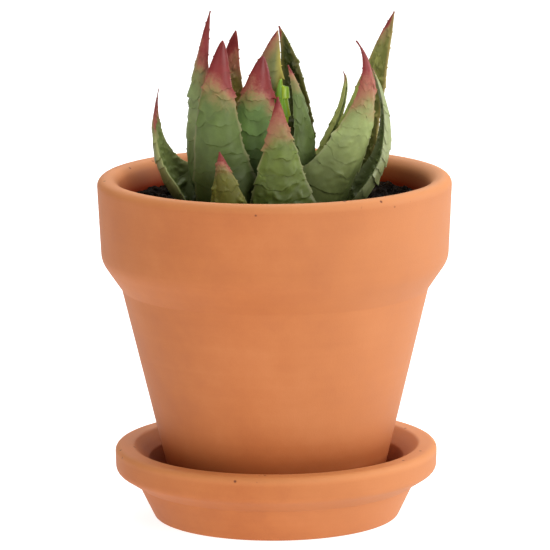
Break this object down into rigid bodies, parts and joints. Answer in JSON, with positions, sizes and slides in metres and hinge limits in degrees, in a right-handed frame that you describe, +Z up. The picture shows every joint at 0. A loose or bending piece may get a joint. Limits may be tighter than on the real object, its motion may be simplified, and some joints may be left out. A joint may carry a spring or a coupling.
{
  "type": "potted artificial succulent",
  "caption": "Unglazed clay flower pot with a deep collar, standing in a clay saucer and holding an artificial aloe set in foam and moss soil.",
  "frame": {"origin": "middle of the saucer's underside, on the surface that it stands on", "axes": "+Z up along the pot's axis, -Y is the front"},
  "size_m": [0.1053, 0.1054, 0.1516],
  "materials": {
    "pot_clay": "matte",
    "saucer_clay": "matte",
    "foam": "matte",
    "moss_soil": "matte",
    "steel_wire": "satin",
    "crown_plastic": "matte",
    "heart_plastic": "satin",
    "leaf_plastic": "satin"
  },
  "bodies": {
    "saucer": {"saucer": "saucer_clay"},
    "pot": {"pot": "pot_clay"},
    "filling": {"foam_plug": "foam", "soil_bed": "moss_soil", "soil_crumbs": "moss_soil"},
    "plant": {"stem_wire": "steel_wire", "crown": "crown_plastic", "heart_shoot": "heart_plastic", "leaf_back_left": "leaf_plastic", "leaf_back_right": "leaf_plastic", "leaf_big_front_left": "leaf_plastic", "leaf_centre": "leaf_plastic", "leaf_dark_back": "leaf_plastic", "leaf_far_left": "leaf_plastic", "leaf_far_right_tall": "leaf_plastic", "leaf_front_centre": "leaf_plastic", "leaf_front_left_small": "leaf_plastic", "leaf_pale_centre": "leaf_plastic", "leaf_red_back": "leaf_plastic", "leaf_right_big": "leaf_plastic", "leaf_right_centre": "leaf_plastic", "leaf_right_outer": "leaf_plastic", "leaf_tall_left": "leaf_plastic", "leaf_thin_back_right": "leaf_plastic", "leaf_yellow_green": "leaf_plastic"}
  },
  "joints": [
    {"name": "pot_lift", "type": "slide", "parent": "saucer", "child": "pot", "axis": [0, 0, 1], "range_m": [0, 0.03]},
    {"name": "filling_lift", "type": "slide", "parent": "pot", "child": "filling", "axis": [0, 0, 1], "range_m": [0, 0.1]},
    {"name": "plant_lift", "type": "slide", "parent": "filling", "child": "plant", "axis": [0, 0, 1], "range_m": [0, 0.07]}
  ]
}
